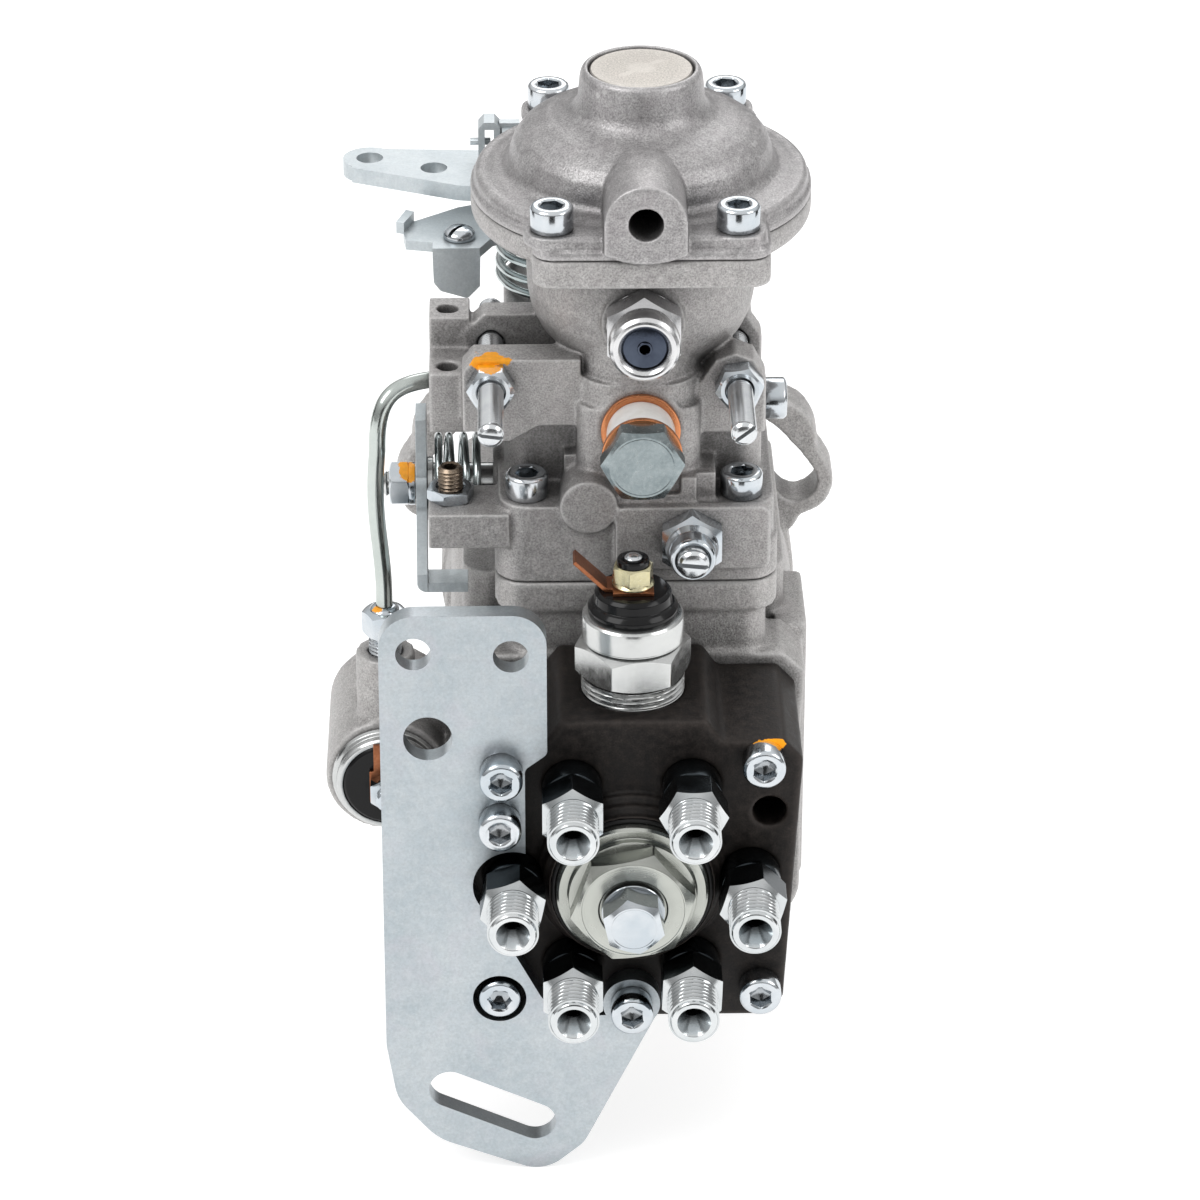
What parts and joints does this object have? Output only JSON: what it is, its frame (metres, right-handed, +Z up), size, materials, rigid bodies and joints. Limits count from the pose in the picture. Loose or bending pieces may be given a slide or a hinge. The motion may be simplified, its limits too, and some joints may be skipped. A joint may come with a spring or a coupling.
{
  "type": "diesel injection pump",
  "caption": "Rotary distributor diesel injection pump with boost compensator, governor cover with levers, solenoids, threaded outlet unions, rear bracket and slotted mounting flange.",
  "frame": {"origin": "centre of the mounting flange's face, on the axis of the drive shaft", "axes": "+Y along the drive shaft to the drive end, so the outlet head faces -Y; +Z up, towards the governor cover; +X to the right when looking at the outlets"},
  "size_m": [0.129, 0.243, 0.2536],
  "materials": {
    "cast_housing": "sand-cast and shot-blasted, matte warm grey",
    "cast_cover": "die-cast and shot-blasted, matte warm grey",
    "dark_head": "phosphated, matte brown-black",
    "zinc_sheet": "zinc plated, pale blue-grey, slightly mottled",
    "bright_screws": "bright zinc",
    "plug_steel": "zinc plated, olive silver",
    "dark_plated": "bright threads on darkened hexagons",
    "satin_steel": "satin",
    "yellow_zinc": "yellow passivated zinc",
    "copper": "annealed copper",
    "black_insulator": "glossy black",
    "nylon": "milky translucent",
    "black_rubber": "matte black",
    "plain_aluminium": "turned, bright",
    "spring_steel": "bright drawn wire",
    "ground_steel": "ground",
    "dark_steel": "oiled"
  },
  "bodies": {
    "pump_body": {"pump_housing": "cast_housing", "distributor_head": "dark_head", "delivery_valve_holders": "dark_plated", "head_plug": "plug_steel", "seal_rings": "black_rubber", "bleed_bolt": "zinc_sheet", "support_bracket": "zinc_sheet", "head_cap_screws": "bright_screws", "shutoff_solenoid": "satin_steel", "solenoid_insulators": "black_insulator", "solenoid_terminals": "copper", "solenoid_nuts": "yellow_zinc", "cold_start_solenoid": "satin_steel", "governor_cover": "cast_cover", "boost_cover": "cast_cover", "boost_cap_plug": "cast_cover", "boost_spring": "spring_steel", "cover_cap_screws": "bright_screws", "return_bolt": "zinc_sheet", "copper_washers": "copper", "nylon_spacer": "nylon", "vent_fitting": "plain_aluminium", "vent_insert": "dark_steel", "adjusting_screws": "satin_steel", "adjusting_locknuts": "bright_screws", "side_screws": "bright_screws", "stop_lever_spring": "spring_steel", "throttle_spring": "spring_steel", "return_pipe": "satin_steel", "pipe_union_nut": "bright_screws", "vane_pump_ring": "dark_steel", "plunger_springs": "spring_steel", "governor_shaft": "ground_steel", "timing_spring": "spring_steel", "timing_covers": "plain_aluminium"},
    "drive": {"drive_shaft": "ground_steel", "shaft_key": "dark_steel", "shaft_nut": "zinc_sheet", "vane_pump_rotor": "ground_steel", "governor_drive_gear": "dark_steel", "cam_disc": "ground_steel", "pump_plunger": "ground_steel"},
    "governor_weights": {"governor_flyweights": "dark_steel"},
    "timing_ring": {"roller_ring": "dark_steel"},
    "timing_piston": {"timing_piston": "ground_steel"},
    "governor_lever": {"governor_lever": "dark_steel", "governor_spring": "spring_steel"},
    "governor_sleeve": {"governor_sleeve": "ground_steel"},
    "control_collar": {"control_collar": "ground_steel"},
    "stop_lever": {"stop_lever": "zinc_sheet", "stop_lever_shaft": "satin_steel", "stop_lever_nut": "bright_screws"},
    "throttle": {"throttle_lever": "zinc_sheet", "throttle_shaft": "satin_steel", "throttle_stop_plate": "zinc_sheet", "throttle_fasteners": "bright_screws"},
    "boost": {"boost_pin": "ground_steel", "boost_diaphragm": "black_rubber"},
    "solenoid_plunger": {"solenoid_plunger": "ground_steel"}
  },
  "joints": [
    {"name": "drive_spin", "type": "hinge", "parent": "pump_body", "child": "drive", "pos_m": [0, 0, 0], "axis": [0, 1, 0], "continuous": true},
    {"name": "governor_spin", "type": "hinge", "parent": "pump_body", "child": "governor_weights", "pos_m": [0, 0, 0.052], "axis": [0, 1, 0], "continuous": true},
    {"name": "timing_turn", "type": "hinge", "parent": "pump_body", "child": "timing_ring", "pos_m": [0, -0.062, 0], "axis": [0, -1, 0], "range_deg": [0, 10]},
    {"name": "timing_slide", "type": "slide", "parent": "pump_body", "child": "timing_piston", "axis": [1, 0, 0], "range_m": [0, 0.00873], "stiffness_N_per_m": 150, "springref_m": -0.002, "deforming": ["timing_spring"]},
    {"name": "governor_swing", "type": "hinge", "parent": "pump_body", "child": "governor_lever", "pos_m": [0, -0.0965, 0.04], "axis": [1, 0, 0], "range_deg": [0, 8], "stiffness_Nm_per_rad": 0.5, "springref_deg": -17.19},
    {"name": "sleeve_slide", "type": "slide", "parent": "pump_body", "child": "governor_sleeve", "axis": [0, -1, 0], "range_m": [0, 0.00168]},
    {"name": "collar_slide", "type": "slide", "parent": "pump_body", "child": "control_collar", "axis": [0, 1, 0], "range_m": [0, 0.00433]},
    {"name": "stop_swing", "type": "hinge", "parent": "pump_body", "child": "stop_lever", "pos_m": [0, -0.093, 0.0695], "axis": [-1, 0, 0], "range_deg": [0, 40], "stiffness_Nm_per_rad": 0.4, "springref_deg": -34.38},
    {"name": "throttle_swing", "type": "hinge", "parent": "pump_body", "child": "throttle", "pos_m": [-0.012, -0.034, 0], "axis": [0, 0, 1], "range_deg": [0, 20], "stiffness_Nm_per_rad": 1, "springref_deg": -45.84},
    {"name": "boost_slide", "type": "slide", "parent": "pump_body", "child": "boost", "axis": [0, 0, -1], "range_m": [0, 0.006], "stiffness_N_per_m": 3000, "springref_m": -0.003, "deforming": ["boost_spring"]},
    {"name": "solenoid_slide", "type": "slide", "parent": "pump_body", "child": "solenoid_plunger", "axis": [0, 0, 1], "range_m": [0, 0.0015], "stiffness_N_per_m": 2000, "springref_m": -0.001}
  ],
  "couplings": [
    {"joint": "governor_spin", "follows": "drive_spin", "ratio": -1.6},
    {"joint": "timing_slide", "follows": "timing_turn", "m_per_rad": 0.05},
    {"joint": "sleeve_slide", "follows": "governor_swing", "m_per_rad": 0.012},
    {"joint": "collar_slide", "follows": "governor_swing", "m_per_rad": 0.031}
  ]
}
